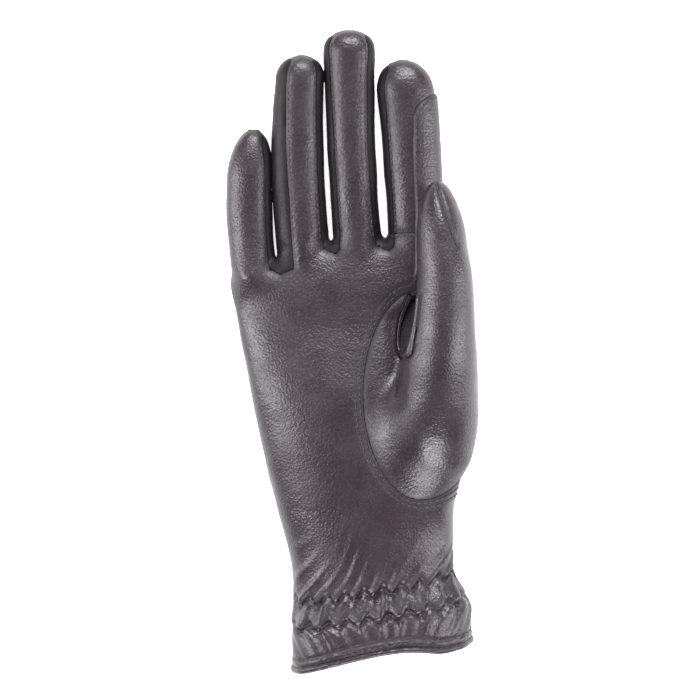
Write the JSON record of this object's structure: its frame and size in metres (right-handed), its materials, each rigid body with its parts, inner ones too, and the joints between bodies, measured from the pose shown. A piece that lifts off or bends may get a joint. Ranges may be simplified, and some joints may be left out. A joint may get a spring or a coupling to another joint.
{
  "type": "riding glove",
  "caption": "Dark brown leather riding glove for a right hand, with an oval-set thumb, strips between the fingers, a reinforced index finger and a gathered wrist.",
  "frame": {"origin": "middle of the glove's box, on the surface that it lies on", "axes": "+X to the thumb side, +Y to the fingertips, +Z out of the palm"},
  "size_m": [0.0954, 0.2454, 0.0457],
  "materials": {
    "leather": "semi-gloss, fine grain",
    "side_leather": "satin, fine grain, more reddish",
    "binding": "satin, folded edge"
  },
  "bodies": {
    "root": {"palm_panel": "leather", "back_panel": "leather", "index_front": "leather", "fourchette_little_ring": "side_leather", "fourchette_ring_middle": "side_leather", "fourchette_middle_index": "side_leather", "thumb_panel": "leather", "rein_panel": "leather", "thumb_slit_lip": "binding", "hem_binding": "binding"}
  },
  "joints": []
}
